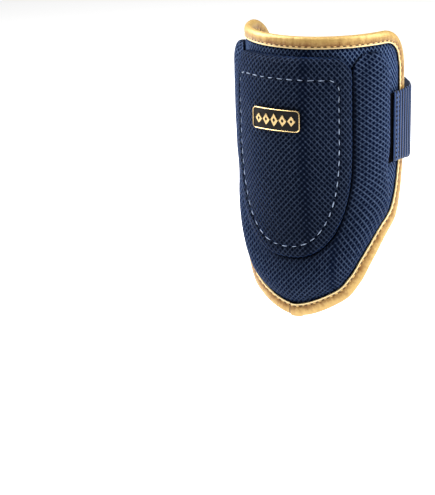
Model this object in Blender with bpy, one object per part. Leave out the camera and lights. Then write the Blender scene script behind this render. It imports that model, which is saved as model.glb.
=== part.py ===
"""Batter's elbow guard: a padded shell wrapped round the arm and closed by one elastic strap.

Metres, +Z up toward the upper arm. The guard faces -Y, its two wings run back to +Y, and its
tapering end points down. The origin is on the arm's axis, level with the middle of the strap.

Every panel is drawn flat, as it is cut: u runs across the guard from its middle line, z up it.
wrap() then lays the flat drawing round the arm, at a lift above the shell's outer face.
"""

import math
from collections import namedtuple

import bmesh
import bpy
from mathutils import Vector

# The form round the arm
FRONT_RADIUS = 0.0605
FRONT_TURN = math.radians(88.0)
WING_RADIUS = 0.150
BEND_TOP = 0.037
BEND_DEPTH = 0.0085
TIP_LEAN = 0.0030
FLATTER_TOP = -0.030
FLATTER_BY = 0.010

# Shell, as cut
SHELL_HALF_WIDTH = 0.114
SHELL_TOP = 0.0727
SHELL_TIP = -0.147
TOP_RISE = 0.002
EAR_RADIUS = 0.033
TAPER_TOP = -0.014
SHELL_THICKNESS = 0.005
SHELL_EDGE_ROUND = 0.0008

# Tape over the shell's edge
TAPE_WIDTH = 0.0105
TAPE_THICKNESS = 0.001
TAPE_PROUD = 0.0005
TAPE_LAP = 0.012
TAPE_LAP_STEP = 0.0006

# Pad that runs down both sides and under the flap
PAD_THICKNESS = 0.0100
PAD_WIDTH = 0.0357
PAD_BELOW_FLAP = 0.0400
PAD_FLANGE = 0.0288
PAD_TOP_GAP = 0.0015
PAD_EDGE_GAP = 0.0008
PAD_FINGER_ROUND = 0.6
PAD_FULLER_FROM = 0.29
PAD_FULLER_BY = 0.34
PAD_THINNER_FROM = 0.20
PAD_THINNER_TO = 0.62
PAD_THINNER_SHARE = 0.70
FLANGE_BELOW_STRAP = 0.008
FLANGE_RUN = 0.048

# Front flap, as cut
FLAP_TOP_GAP = 0.0027
FLAP_ROUND_LENGTH = 0.0965
FLAP_SQUARENESS = 0.85
FLAP_CORNER = 0.014
FLAP_THICKNESS = 0.0115
STITCH_INSET_SIDE = 0.0098
STITCH_INSET_TOP = 0.0160
STITCH_DIP = 0.0014

# Badge on the flap
BADGE_WIDTH = 0.0410
BADGE_HEIGHT = 0.0165
BADGE_CORNER = 0.003
BADGE_THICKNESS = 0.0018
BADGE_RIM = 0.0013
BADGE_RELIEF = 0.0006
BADGE_DROP = 0.0465

# Strap and the hook patch under its end
STRAP_WIDTH = 0.052
STRAP_THICKNESS = 0.002
STRAP_OVERLAP = 0.0205
STRAP_SEWN = 0.020
STRAP_TUCK = 0.004
PATCH_THICKNESS = 0.001
PATCH_SHOWING = 0.0060
PATCH_UNDER_STRAP = 0.008

# Gap between pieces that touch; between curved faceted faces; and inside the folded tape
GAP = 0.0003
SEAT_GAP = 0.0006
FOLD_GAP = 0.00045

# Places that follow from the sizes above
FLAP_TOP = SHELL_TOP - TAPE_WIDTH - FLAP_TOP_GAP
FLAP_BOTTOM = SHELL_TIP + TAPE_WIDTH + PAD_BELOW_FLAP
FLAP_HALF_WIDTH = SHELL_HALF_WIDTH - PAD_FLANGE - PAD_WIDTH
FLANGE_FULL = -STRAP_WIDTH / 2 - FLANGE_BELOW_STRAP
FLANGE_GONE = FLANGE_FULL - FLANGE_RUN

# Shell's lower end: shares of the way from TAPER_TOP down to the tip, and of the half width
TaperRow = namedtuple("TaperRow", "down width")
TAPER_ROWS = (
    TaperRow(0.00, 1.000),
    TaperRow(0.22, 0.945),
    TaperRow(0.41, 0.834),
    TaperRow(0.53, 0.690),
    TaperRow(0.67, 0.565),
    TaperRow(0.79, 0.470),
    TaperRow(0.90, 0.330),
)

# Tape's fold: shares of its thickness in from the edge, and of the shell's thickness down
BendRow = namedtuple("BendRow", "inward down")
OUTER_BEND_ROWS = (
    BendRow(0.35, 0.12),
    BendRow(0.00, 0.36),
    BendRow(0.00, 0.64),
    BendRow(0.35, 0.88),
)
INNER_BEND_ROWS = (
    BendRow(1.00, 0.70),
    BendRow(1.00, 0.30),
)
OUTER_TURN = 1.4
INNER_TURN = 1.9

# Flap's puffy rim: shares of the way from its edge in to the stitches, and of its thickness
RimRow = namedtuple("RimRow", "across height")
RIM_ROWS = (
    RimRow(0.00, 0.36),
    RimRow(0.12, 0.62),
    RimRow(0.42, 0.82),
    RimRow(0.78, 0.84),
)

# Side pad: shares of the way from the flap to the pad's outer edge, and of its thickness
PadRow = namedtuple("PadRow", "across height")
PAD_ROWS = (
    PadRow(0.00, 0.30),
    PadRow(0.10, 0.46),
    PadRow(0.26, 0.68),
    PadRow(0.46, 0.90),
    PadRow(0.64, 1.00),
    PadRow(0.80, 0.96),
    PadRow(0.91, 0.74),
    PadRow(0.97, 0.48),
    PadRow(1.00, 0.20),
)
PAD_FINGER_TURNS = (8, 22, 38, 55, 72)

# How finely the panels are faceted, and the shares of the way in to a panel's middle line
EDGE_POINTS = 42
FLAP_POINTS = 34
PAD_STATIONS = 30
STRAP_STATIONS = 34
SHELL_FILL = (0.14, 0.28, 0.42, 0.55, 0.69, 0.83, 0.97)
FLAP_BASE_FILL = (0.17, 0.34, 0.51, 0.68, 0.84, 0.97)
FLAP_FACE_FILL = (0.10, 0.32, 0.65, 0.95)
BADGE_FILL = (0.33, 0.66, 0.94)


def smooth(share):
    """Ease a share from 0 to 1 with no kink at either end."""
    share = min(max(share, 0.0), 1.0)
    return share * share * (3.0 - 2.0 * share)


def mix(start, end, share):
    return start + (end - start) * share


def section(u, flatter=0.0):
    """Place and turn, seen from above, of the point u along the shell's outer face."""
    radius = FRONT_RADIUS + flatter
    reach = abs(u)
    front = radius * FRONT_TURN
    if reach <= front:
        turn = reach / radius
        x = radius * math.sin(turn)
        y = -radius * math.cos(turn)
    else:
        turn = FRONT_TURN + (reach - front) / WING_RADIUS
        step = radius - WING_RADIUS
        x = step * math.sin(FRONT_TURN) + WING_RADIUS * math.sin(turn)
        y = -step * math.cos(FRONT_TURN) - WING_RADIUS * math.cos(turn)
    return math.copysign(x, u), y + flatter, math.copysign(turn, u)


def wrap(u, z, lift):
    """Lay the flat point (u, z) round the arm, lift above the shell's outer face."""
    below = max(BEND_TOP - z, 0.0) / (BEND_TOP - SHELL_TIP)
    lean = TIP_LEAN * max(TAPER_TOP - z, 0.0) / (TAPER_TOP - SHELL_TIP)
    flatter = FLATTER_BY * smooth((FLATTER_TOP - z) / (FLATTER_TOP - SHELL_TIP))
    x, y, turn = section(u + lean, flatter)
    x += lift * math.sin(turn)
    y -= lift * math.cos(turn)
    return Vector((x, y + BEND_DEPTH * below**1.5, z))


def curve_through(points, before, after, steps=8):
    """Smooth curve through flat points; before and after set its direction at the ends."""
    knots = [before, *points, after]
    line = []
    for k in range(1, len(knots) - 2):
        p0, p1, p2, p3 = (Vector(p) for p in knots[k - 1 : k + 3])
        for step in range(steps):
            t = step / steps
            line.append(
                0.5
                * (
                    2.0 * p1
                    + (p2 - p0) * t
                    + (2.0 * p0 - 5.0 * p1 + 4.0 * p2 - p3) * t**2
                    + (3.0 * p1 - p0 - 3.0 * p2 + p3) * t**3
                )
            )
    line.append(Vector(points[-1]))
    return line


def arc(centre, radius, start, end, steps=10):
    """Flat arc; angles run counter-clockwise from +u."""
    line = []
    for step in range(steps + 1):
        angle = mix(start, end, step / steps)
        line.append(Vector((centre[0] + radius * math.cos(angle), centre[1] + radius * math.sin(angle))))
    return line


def spaced(line, count):
    """The same line as count equal steps."""
    lengths = [0.0]
    for a, b in zip(line, line[1:]):
        lengths.append(lengths[-1] + (b - a).length)
    points = []
    k = 0
    for step in range(count + 1):
        target = lengths[-1] * step / count
        while k < len(line) - 2 and lengths[k + 1] < target:
            k += 1
        span = max(lengths[k + 1] - lengths[k], 1e-9)
        points.append(line[k].lerp(line[k + 1], min((target - lengths[k]) / span, 1.0)))
    return points


def mirrored(half):
    """Close a right half, drawn from the top middle to the bottom middle, with its mirror image."""
    return half + [Vector((-p.x, p.y)) for p in half[-2:0:-1]]


def inset(loop, distance):
    """The loop moved in; distance is one length or one for each point."""
    count = len(loop)
    moved = []
    for i, point in enumerate(loop):
        along = loop[(i + 1) % count] - loop[i - 1]
        inward = Vector((along.y, -along.x)).normalized()
        step = distance[i] if isinstance(distance, list) else distance
        moved.append(point + inward * step)
    return moved


def shell_half():
    """Right half of the guard's outline, from the middle of the top edge to the tip."""
    ear_start = SHELL_HALF_WIDTH - EAR_RADIUS
    ear_top = SHELL_TOP + TOP_RISE
    top = []
    for step in range(10):
        share = step / 10
        top.append(Vector((ear_start * share, SHELL_TOP + TOP_RISE * smooth(share))))
    ear = arc((ear_start, ear_top - EAR_RADIUS), EAR_RADIUS, math.pi / 2, 0.0)
    drop = TAPER_TOP - SHELL_TIP
    rows = [(SHELL_HALF_WIDTH * row.width, TAPER_TOP - drop * row.down) for row in TAPER_ROWS]
    before = (SHELL_HALF_WIDTH, TAPER_TOP + drop * TAPER_ROWS[1].down)
    after = (-rows[-1][0], rows[-1][1])
    taper = curve_through([*rows, (0.0, SHELL_TIP)], before, after)
    return top + ear + taper


def flap_half(in_side, in_top, in_bottom, corner_radius):
    """Right half of the flap's outline, or of a line set in from it by the given lengths."""
    half_width = FLAP_HALF_WIDTH - in_side
    top_level = FLAP_TOP - in_top
    bottom_level = FLAP_BOTTOM + in_bottom
    corner = (half_width - corner_radius, top_level - corner_radius)
    line = [Vector((corner[0] * step / 6, top_level)) for step in range(6)]
    line += arc(corner, corner_radius, math.pi / 2, 0.0, 8)
    drop = FLAP_ROUND_LENGTH - in_bottom
    for step in range(1, 25):
        angle = math.pi / 2 * step / 24
        u = half_width * max(math.cos(angle), 0.0) ** FLAP_SQUARENESS
        line.append(Vector((u, bottom_level + drop * (1.0 - math.sin(angle) ** FLAP_SQUARENESS))))
    line[-1].x = 0.0
    return line


def middle_line(loop, narrow):
    """The upright middle line that a panel's loops close on, a point for each point of the loop."""
    top = max(p.y for p in loop)
    bottom = min(p.y for p in loop)
    points = []
    for p in loop:
        share = (p.y - bottom) / (top - bottom)
        points.append(Vector((0.0, mix(bottom + narrow, top - narrow, share))))
    return points


def laid(loop, lift):
    """Wrap a flat loop; lift is one height or one for each point."""
    lifts = lift if isinstance(lift, list) else [lift] * len(loop)
    return [wrap(p.x, p.y, high) for p, high in zip(loop, lifts)]


def filled(loop, narrow, lift_start, lift_end, shares):
    """Loops from a panel's inner rim to its middle line, lifted from the one height to the other."""
    middle = middle_line(loop, narrow)
    loops = []
    for share in shares:
        flat = [p.lerp(m, share) for p, m in zip(loop, middle)]
        loops.append(laid(flat, mix(lift_start, lift_end, smooth(share))))
    return loops


def material(name, colour, roughness, metallic=0.0):
    made = bpy.data.materials.new(name)
    made.use_nodes = True
    shader = made.node_tree.nodes["Principled BSDF"]
    linear = [(c / 12.92 if c <= 0.04045 else ((c + 0.055) / 1.055) ** 2.4) for c in colour]
    shader.inputs["Base Color"].default_value = (*linear, 1.0)
    shader.inputs["Roughness"].default_value = roughness
    shader.inputs["Metallic"].default_value = metallic
    return made


def fold_shut(bm, row):
    """Close a narrow symmetric loop by joining each point to its mirror image."""
    count = len(row)
    half = count // 2
    bm.faces.new((row[0], row[1], row[count - 1]))
    for k in range(1, half - 1):
        bm.faces.new((row[k], row[k + 1], row[count - k - 1], row[count - k]))
    bm.faces.new((row[half - 1], row[half], row[half + 1]))


def fan_shut(bm, row):
    """Close a small loop with faces that meet at its middle."""
    centre = bm.verts.new(sum((v.co for v in row), Vector()) / len(row))
    for a, b in zip(row, row[1:] + row[:1]):
        bm.faces.new((a, b, centre))


def solid(name, loops, finish, shut=None):
    """One closed body from loops of equal count; with no cap the last loop joins the first."""
    bm = bmesh.new()
    rows = [[bm.verts.new(point) for point in loop] for loop in loops]
    pairs = list(zip(rows, rows[1:]))
    if shut is None:
        pairs.append((rows[-1], rows[0]))
    for near, far in pairs:
        for i in range(len(near)):
            j = (i + 1) % len(near)
            bm.faces.new((near[i], near[j], far[j], far[i]))
    if shut is not None:
        shut(bm, rows[0])
        shut(bm, rows[-1])
    bmesh.ops.recalc_face_normals(bm, faces=bm.faces)
    mesh = bpy.data.meshes.new(name)
    bm.to_mesh(mesh)
    bm.free()
    mesh.shade_smooth()
    mesh.set_sharp_from_angle(angle=math.radians(50.0))
    mesh.materials.append(finish)
    made = bpy.data.objects.new(name, mesh)
    bpy.context.collection.objects.link(made)
    return made


def make_shell(edge, finish):
    """Mesh cloth over foam, pressed thinner under the tape."""
    pressed = TAPE_THICKNESS + FOLD_GAP - TAPE_PROUD
    body = inset(edge, TAPE_THICKNESS + FOLD_GAP)
    corner = inset(body, SHELL_EDGE_ROUND)
    band = inset(edge, TAPE_WIDTH + FOLD_GAP)
    rim = inset(edge, TAPE_WIDTH + FOLD_GAP + pressed)
    shoulder = pressed + SHELL_EDGE_ROUND
    outer = filled(rim, SHELL_HALF_WIDTH, 0.0, 0.0, SHELL_FILL)
    inner = filled(rim, SHELL_HALF_WIDTH, -SHELL_THICKNESS, -SHELL_THICKNESS, SHELL_FILL)
    loops = [
        *reversed(outer),
        laid(rim, 0.0),
        laid(band, -pressed),
        laid(corner, -pressed),
        laid(body, -shoulder),
        laid(body, shoulder - SHELL_THICKNESS),
        laid(corner, pressed - SHELL_THICKNESS),
        laid(band, pressed - SHELL_THICKNESS),
        laid(rim, -SHELL_THICKNESS),
        *inner,
    ]
    return solid("shell", loops, finish, fold_shut)


def lap_lifts(edge):
    """Extra height of the tape where its end lies over its start, just right of the tip."""
    tip = len(edge) // 2
    lifts = [0.0] * len(edge)
    covered = 0.0
    k = tip - 1
    while covered < TAPE_LAP:
        lifts[k] = TAPE_LAP_STEP
        covered += (edge[k] - edge[k - 1]).length
        k -= 1
    return lifts


def bend_loops(edge, rows):
    """Loops round the tape's fold, one for each row."""
    loops = []
    for row in rows:
        loops.append(laid(inset(edge, TAPE_THICKNESS * row.inward), -SHELL_THICKNESS * row.down))
    return loops


def make_binding(edge, finish):
    """The tape's C section carried round the whole edge."""
    lifts = lap_lifts(edge)
    face = TAPE_PROUD - TAPE_THICKNESS
    back = -SHELL_THICKNESS - face
    raised = [TAPE_PROUD + high for high in lifts]
    sunk = [-SHELL_THICKNESS - TAPE_PROUD - high for high in lifts]
    leg = inset(edge, TAPE_WIDTH)
    turn = inset(edge, TAPE_THICKNESS * OUTER_TURN)
    inside_turn = inset(edge, TAPE_THICKNESS * INNER_TURN)
    loops = [
        laid(leg, face),
        laid(leg, raised),
        laid(turn, raised),
        *bend_loops(edge, OUTER_BEND_ROWS),
        laid(turn, sunk),
        laid(leg, sunk),
        laid(leg, back),
        laid(inside_turn, back),
        *bend_loops(edge, INNER_BEND_ROWS),
        laid(inside_turn, face),
    ]
    return solid("edge_binding", loops, finish)


def make_flap(edge, stitches, finish):
    """The stitched front panel: a puffy rim, a dip along the stitches and a full middle."""
    loops = filled(edge, FLAP_HALF_WIDTH, SEAT_GAP, SEAT_GAP, FLAP_BASE_FILL)[::-1]
    loops.append(laid(edge, SEAT_GAP))
    for row in RIM_ROWS:
        flat = [a.lerp(b, row.across) for a, b in zip(edge, stitches)]
        loops.append(laid(flat, FLAP_THICKNESS * row.height))
    rim_height = FLAP_THICKNESS * RIM_ROWS[-1].height
    loops.append(laid(stitches, rim_height - STITCH_DIP))
    loops += filled(stitches, FLAP_HALF_WIDTH, rim_height, FLAP_THICKNESS, FLAP_FACE_FILL)
    return solid("front_flap", loops, finish, fold_shut)


def part_below(line, level):
    """The stretch of a line, drawn from the top down, that lies below a level."""
    stretch = []
    for p in reversed(line):
        if p.y > level:
            break
        stretch.append(p)
    return stretch[::-1]


def pad_sides(shell_right, flap_right):
    """Matching points down the pad's inner and outer edge, from below its finger to the tip."""
    shell_line = spaced(shell_right, 200)
    flap_line = spaced(flap_right, 200)
    loop = mirrored(shell_line)
    flange = []
    for p in loop:
        share = smooth((p.y - FLANGE_GONE) / (FLANGE_FULL - FLANGE_GONE))
        flange.append(mix(TAPE_WIDTH + PAD_EDGE_GAP, PAD_FLANGE, share))
    outer = inset(loop, flange)[: len(shell_line)]
    inner = inset(mirrored(flap_line), -PAD_EDGE_GAP)[: len(flap_line)]
    level = SHELL_TOP + TOP_RISE - TAPE_WIDTH - PAD_TOP_GAP - PAD_WIDTH / 2
    return (
        spaced(part_below(inner, level), PAD_STATIONS),
        spaced(part_below(outer, level), PAD_STATIONS),
    )


def pad_stations(shell_right, flap_right):
    """(inner point, outer point, height share, fullness share) down the right side of the pad."""
    inner, outer = pad_sides(shell_right, flap_right)
    middle = (inner[0] + outer[0]) / 2
    half = (outer[0] - inner[0]) / 2
    stations = []
    for turn in PAD_FINGER_TURNS:
        angle = math.radians(turn)
        centre = middle + Vector((0.0, half.length * math.cos(angle)))
        reach = half * math.sin(angle)
        stations.append((centre - reach, centre + reach, math.sin(angle) ** PAD_FINGER_ROUND, 0.0))
    for k, (a, b) in enumerate(zip(inner, outer)):
        down = k / PAD_STATIONS
        fuller = smooth((down - PAD_FULLER_FROM) / (1.0 - PAD_FULLER_FROM))
        thinner = smooth((down - PAD_THINNER_FROM) / (PAD_THINNER_TO - PAD_THINNER_FROM))
        stations.append((a, b, mix(1.0, PAD_THINNER_SHARE, thinner), fuller))
    return stations


def pad_section(station):
    """One cross-section of the pad: over its crown, then back along its base."""
    inner, outer, tall, fuller = station
    foot = SEAT_GAP * 1.5
    loop = []
    for row in PAD_ROWS:
        flat = inner.lerp(outer, row.across)
        share = row.height + fuller * PAD_FULLER_BY * (1.0 - row.across) ** 2
        loop.append(wrap(flat.x, flat.y, foot + (PAD_THICKNESS - foot) * share * tall))
    for across in (1.0, 0.8, 0.6, 0.4, 0.2, 0.0):
        flat = inner.lerp(outer, across)
        loop.append(wrap(flat.x, flat.y, SEAT_GAP))
    return loop


def make_side_pad(shell_right, flap_right, finish):
    """The U-shaped pad, from its right finger round under the flap to its left finger."""
    right = pad_stations(shell_right, flap_right)
    left = []
    for inner, outer, tall, fuller in right[-2::-1]:
        left.append((Vector((-inner.x, inner.y)), Vector((-outer.x, outer.y)), tall, fuller))
    loops = [pad_section(station) for station in right + left]
    return solid("side_pad", loops, finish, fan_shut)


def badge_loop(shrink):
    """Rounded rectangle of the badge, shrunk on all sides, drawn for the flap's own radius."""
    narrower = FRONT_RADIUS / (FRONT_RADIUS + FLAP_THICKNESS)
    half_width = BADGE_WIDTH / 2 - shrink
    half_height = BADGE_HEIGHT / 2 - shrink
    radius = max(BADGE_CORNER - shrink, BADGE_CORNER * 0.3)
    side = half_width - radius
    half = [Vector((side * share, half_height)) for share in (0.0, 0.35, 0.70)]
    half += arc((side, half_height - radius), radius, math.pi / 2, 0.0, 3)
    half += arc((side, radius - half_height), radius, 0.0, -math.pi / 2, 3)
    half += [Vector((side * share, -half_height)) for share in (0.70, 0.35, 0.0)]
    return [Vector((p.x * narrower, p.y + FLAP_TOP - BADGE_DROP)) for p in mirrored(half)]


def make_badge(finish):
    """A plain metal plate with a raised rim, curved to the flap."""
    seat = FLAP_THICKNESS + SEAT_GAP
    face = seat + BADGE_THICKNESS
    narrow = BADGE_HEIGHT * 0.3
    edge = badge_loop(0.0)
    field = badge_loop(BADGE_RIM)
    base = filled(edge, narrow, seat, seat, BADGE_FILL)
    top = filled(field, narrow, face, face, BADGE_FILL)
    loops = [
        *reversed(base),
        laid(edge, seat),
        laid(edge, face + BADGE_RELIEF * 0.5),
        laid(badge_loop(BADGE_RIM * 0.3), face + BADGE_RELIEF),
        laid(badge_loop(BADGE_RIM * 0.8), face + BADGE_RELIEF),
        laid(field, face),
        *top,
    ]
    return solid("badge", loops, finish, fold_shut)


def band_solid(name, path, low, high, thickness, finish):
    """A flat band that follows a path of (inner point, outward direction), seen from above."""
    loops = []
    for point, outward in path:
        far = point + outward * thickness
        loops.append([(*point, low), (*far, low), (*far, high), (*point, high)])
    return solid(name, loops, finish, fan_shut)


def wing_path(start, end, lift, steps):
    """Inner points and outward directions of a band laid along a wing."""
    path = []
    for step in range(steps + 1):
        x, y, turn = section(mix(start, end, step / steps))
        outward = Vector((math.sin(turn), -math.cos(turn)))
        path.append((Vector((x, y)) + outward * lift, outward))
    return path


def make_patch(finish):
    """Hook tape under the strap's end, showing a little past it toward the side pad."""
    lift = TAPE_PROUD + GAP
    strap_end = SHELL_HALF_WIDTH - STRAP_OVERLAP
    path = wing_path(strap_end - PATCH_SHOWING, strap_end + PATCH_UNDER_STRAP, lift, 6)
    return band_solid("hook_patch", path, -STRAP_WIDTH / 2, STRAP_WIDTH / 2, PATCH_THICKNESS, finish)


def make_strap(finish):
    """Elastic band: over the right wing, round behind the arm, and sewn inside the left wing."""
    over = TAPE_PROUD + PATCH_THICKNESS + 2 * GAP
    under = -SHELL_THICKNESS - TAPE_PROUD - GAP - STRAP_THICKNESS
    edge = SHELL_HALF_WIDTH
    right = wing_path(edge - STRAP_OVERLAP, edge, over, 4)
    left = wing_path(-edge, STRAP_SEWN - edge, under, 5)
    x, y, turn = section(edge)
    centre = Vector((0.0, y + x * math.cos(turn) / math.sin(turn)))
    start = right[-1][0] - centre
    end = left[0][0] - centre
    angle_start = math.atan2(start.y, start.x)
    angle_end = math.atan2(end.y, end.x)
    behind = []
    for step in range(1, STRAP_STATIONS):
        share = step / STRAP_STATIONS
        angle = mix(angle_start, angle_end, share)
        outward = Vector((math.cos(angle), math.sin(angle)))
        radius = mix(start.length, end.length, smooth(share)) - STRAP_TUCK * math.sin(math.pi * share)
        behind.append((centre + outward * radius, outward))
    path = right + behind + left
    return band_solid("strap", path, -STRAP_WIDTH / 2, STRAP_WIDTH / 2, STRAP_THICKNESS, finish)


def main():
    for old in list(bpy.data.objects):
        bpy.data.objects.remove(old)
    mesh_cloth = material("mesh_cloth", (0.15, 0.19, 0.28), 0.75)
    flap_cloth = material("flap_cloth", (0.12, 0.16, 0.25), 0.72)
    pad_cloth = material("pad_cloth", (0.18, 0.22, 0.33), 0.75)
    gold_tape = material("gold_tape", (0.77, 0.63, 0.40), 0.38, 0.25)
    gold_plate = material("gold_plate", (0.72, 0.58, 0.34), 0.28, 1.0)
    elastic = material("elastic", (0.31, 0.38, 0.53), 0.65)
    hook_tape = material("hook_tape", (0.04, 0.05, 0.08), 0.9)
    shell_right = shell_half()
    flap_right = flap_half(0.0, 0.0, 0.0, FLAP_CORNER)
    stitch_right = flap_half(STITCH_INSET_SIDE, STITCH_INSET_TOP, STITCH_INSET_SIDE, FLAP_CORNER / 2)
    edge = mirrored(spaced(shell_right, EDGE_POINTS))
    flap_edge = mirrored(spaced(flap_right, FLAP_POINTS))
    stitches = mirrored(spaced(stitch_right, FLAP_POINTS))
    make_shell(edge, mesh_cloth)
    make_binding(edge, gold_tape)
    make_side_pad(shell_right, flap_right, pad_cloth)
    make_flap(flap_edge, stitches, flap_cloth)
    make_badge(gold_plate)
    make_patch(hook_tape)
    make_strap(elastic)


main()
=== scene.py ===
"""Batter's elbow guard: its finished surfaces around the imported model, laid out as a Blender add-on.

Every cloth panel is drawn flat, as it is cut: u runs across the guard from its middle line, z up it.
wrap() lays the flat drawing round the arm, at a lift above the shell's outer face. The flat place of
each point is kept in the UV map "cut", in metres, so that the mesh cloth's holes follow the cut.
"""

import functools
import math

import bmesh
import bpy
from mathutils import Euler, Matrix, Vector, noise


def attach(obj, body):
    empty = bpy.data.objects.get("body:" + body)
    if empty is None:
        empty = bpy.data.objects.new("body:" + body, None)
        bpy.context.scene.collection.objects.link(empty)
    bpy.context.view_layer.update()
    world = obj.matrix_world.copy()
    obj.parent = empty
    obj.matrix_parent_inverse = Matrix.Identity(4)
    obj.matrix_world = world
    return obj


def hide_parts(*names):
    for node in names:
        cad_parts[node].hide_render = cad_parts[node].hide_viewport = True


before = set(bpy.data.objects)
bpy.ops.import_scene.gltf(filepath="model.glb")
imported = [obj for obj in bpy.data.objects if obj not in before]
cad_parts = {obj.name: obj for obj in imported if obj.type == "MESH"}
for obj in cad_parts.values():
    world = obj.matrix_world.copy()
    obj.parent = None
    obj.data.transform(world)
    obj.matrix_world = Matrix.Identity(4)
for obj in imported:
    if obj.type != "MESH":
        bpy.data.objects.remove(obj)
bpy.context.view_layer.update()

bl_info = {
    "name": "Batter's elbow guard",
    "version": (1, 0, 0),
    "blender": (4, 5, 0),
    "location": "3D View > Sidebar > Elbow guard",
    "description": "Builds the cloth, tape, badge and strap of an elbow guard around its packed model",
    "category": "Object",
}

# The form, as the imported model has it, in metres
FRONT_RADIUS = 0.0605
FRONT_TURN = math.radians(88.0)
WING_RADIUS = 0.150
BEND_TOP = 0.037
BEND_DEPTH = 0.0085
TIP_LEAN = 0.0030
FLATTER_TOP = -0.030
FLATTER_BY = 0.010
SHELL_HALF_WIDTH = 0.114
SHELL_TOP = 0.0739
SHELL_TIP = -0.147
TOP_RISE = 0.0008
EAR_RADIUS = 0.033
TAPER_TOP = -0.014
SHELL_THICKNESS = 0.005
TAPE_WIDTH = 0.0105
TAPE_LAP = 0.012
TAPE_LAP_RISE = 0.0008
TAPE_TOP_SHARE = 0.85
TAPE_TOP_FROM = 0.052
TAPE_TOP_RUN = 0.018
PAD_THICKNESS = 0.0100
PAD_WIDTH = 0.0357
PAD_BELOW_FLAP = 0.0400
PAD_FLANGE = 0.0288
PAD_DRAWN_IN = 0.962
PAD_DRAWN_IN_TIP = 0.940
PAD_DRAWN_FROM = -0.03
PAD_DRAWN_RUN = 0.08
PAD_TIP_ACROSS = 1.45
PAD_TIP_DOWN = 0.88
PAD_TOP_GAP = 0.0015
PAD_EDGE_GAP = 0.0008
PAD_FINGER_ROUND = 0.6
PAD_FULLER_FROM = 0.29
PAD_FULLER_BY = 0.34
PAD_THINNER_FROM = 0.20
PAD_THINNER_TO = 0.62
PAD_THINNER_SHARE = 0.70
FLANGE_BELOW_STRAP = 0.008
FLANGE_RUN = 0.048
FLAP_ROUND_LENGTH = 0.0965
FLAP_SQUARENESS = 0.85
FLAP_CORNER = 0.014
FLAP_THICKNESS = 0.0115
STITCH_INSET_SIDE = 0.0098
STITCH_INSET_TOP = 0.0160
STITCH_DIP = 0.0014
STITCH_HEIGHT = 0.0008
CHEVRON_BLEND = 0.006
SWELL_FRAMES = 20
BADGE_WIDTH = 0.0402
BADGE_HEIGHT = 0.0165
BADGE_CORNER = 0.003
BADGE_THICKNESS = 0.0018
BADGE_DROP = 0.0465
BADGE_LEFT = 0.0022
BADGE_GAP = 0.00015
BADGE_PRESSES = 0.003
BADGE_RIM = 0.0007
BADGE_BEVEL = 0.00025
ENAMEL_DROP = 0.0004
LOZENGE_PITCH = 0.0069
LOZENGE_WIDTH = 0.0064
LOZENGE_HEIGHT = 0.0104
LOZENGE_LOWER = 0.0012
LOZENGE_RISE = 0.0003
STRAP_WIDTH = 0.0535
STRAP_RAISED = 0.0009
STRAP_RELAXED = 0.0035
STRAP_EASES = (0.040, 0.060)
STRAP_THICKNESS = 0.002
STRAP_STEP = 0.00042
STRAP_OVERLAP = 0.0243
STRAP_SEWN = 0.020
STRAP_TUCK = 0.004
PATCH_THICKNESS = 0.001
PATCH_SHOWING = 0.0050
PATCH_UNDER_STRAP = 0.008
PATCH_STEP = 0.0004
HOOK_ROUGHNESS = 0.00012
TAPE_PROUD = 0.0005
GAP = 0.0003
SEAT_GAP = 0.0006
FOLD_GAP = 0.00045
PRESSED = 0.00095
FLAP_TOP = 0.0595
FLAP_BOTTOM = SHELL_TIP + TAPE_WIDTH + PAD_BELOW_FLAP
FLAP_HALF_WIDTH = 0.0495
FLANGE_FULL = -0.026 - FLANGE_BELOW_STRAP
FLANGE_GONE = FLANGE_FULL - FLANGE_RUN

# Shell's lower end: shares of the way from TAPER_TOP down to the tip, and of the half width
TAPER_ROWS = (
    (0.0, 1.0), (0.22, 0.945), (0.41, 0.834), (0.53, 0.690), (0.67, 0.565), (0.79, 0.470), (0.90, 0.330)
)
# Flap's puffy rim: shares of the way from its edge in to the stitches, and of its thickness
RIM_ROWS = (
    (0.0, 0.16), (0.0, 0.34), (0.02, 0.48), (0.06, 0.60), (0.12, 0.68), (0.20, 0.745),
    (0.32, 0.80), (0.45, 0.83), (0.60, 0.845), (0.74, 0.845),
)
# Side pad: shares of the way from the flap to the pad's outer edge, and of its thickness
PAD_ROWS = (
    (0.0, 0.10), (0.0, 0.16), (0.03, 0.18), (0.10, 0.22), (0.18, 0.29), (0.26, 0.41),
    (0.36, 0.62), (0.46, 0.82), (0.55, 0.93), (0.62, 0.98), (0.69, 0.95), (0.76, 0.88),
    (0.82, 0.78), (0.87, 0.66), (0.92, 0.52), (0.96, 0.37), (0.985, 0.22), (1.0, 0.10),
)
PAD_CROWN = 10
PAD_FINGER_TURNS = (3, 8, 14, 21, 29, 38, 48, 58, 69, 80)
# Tape's section, half of it: millimetres in from the guard's edge, and above the shell's face
TAPE_ROWS = (
    (10.5, -0.50), (10.58, 0.05), (10.50, 0.50), (10.15, 0.74), (9.65, 0.70), (9.15, 0.42),
    (8.65, 0.22), (8.15, 0.36), (7.5, 0.58), (6.5, 0.70), (5.2, 0.75), (3.8, 0.72),
    (2.6, 0.55), (1.6, 0.15), (0.8, -0.45), (0.25, -1.25), (0.0, -2.1),
)
TAPE_INSIDE = ((1.9, -4.4), (1.0, -3.4), (1.0, -1.6), (1.9, -0.6))
# Creases of the tape: waves round the edge and across the tape, and their height in millimetres
TAPE_CREASES = ((9.0, 0.22, 0.10), (34.0, 0.5, 0.07))
MM = 0.001
SEAM_INSET = 8.65 * MM
# Shell's face beside the tape: run in from the tape's edge, and height above the flat face
SHELL_SINK = (
    (0.0050, -0.0001), (0.0034, -0.00025), (0.0022, -0.0006), (0.0012, -0.0011), (FOLD_GAP, -0.0013)
)
SHELL_FILLS = (0.06, 0.14, 0.24, 0.34, 0.44, 0.54, 0.64, 0.74, 0.82, 0.90, 0.97)
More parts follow.
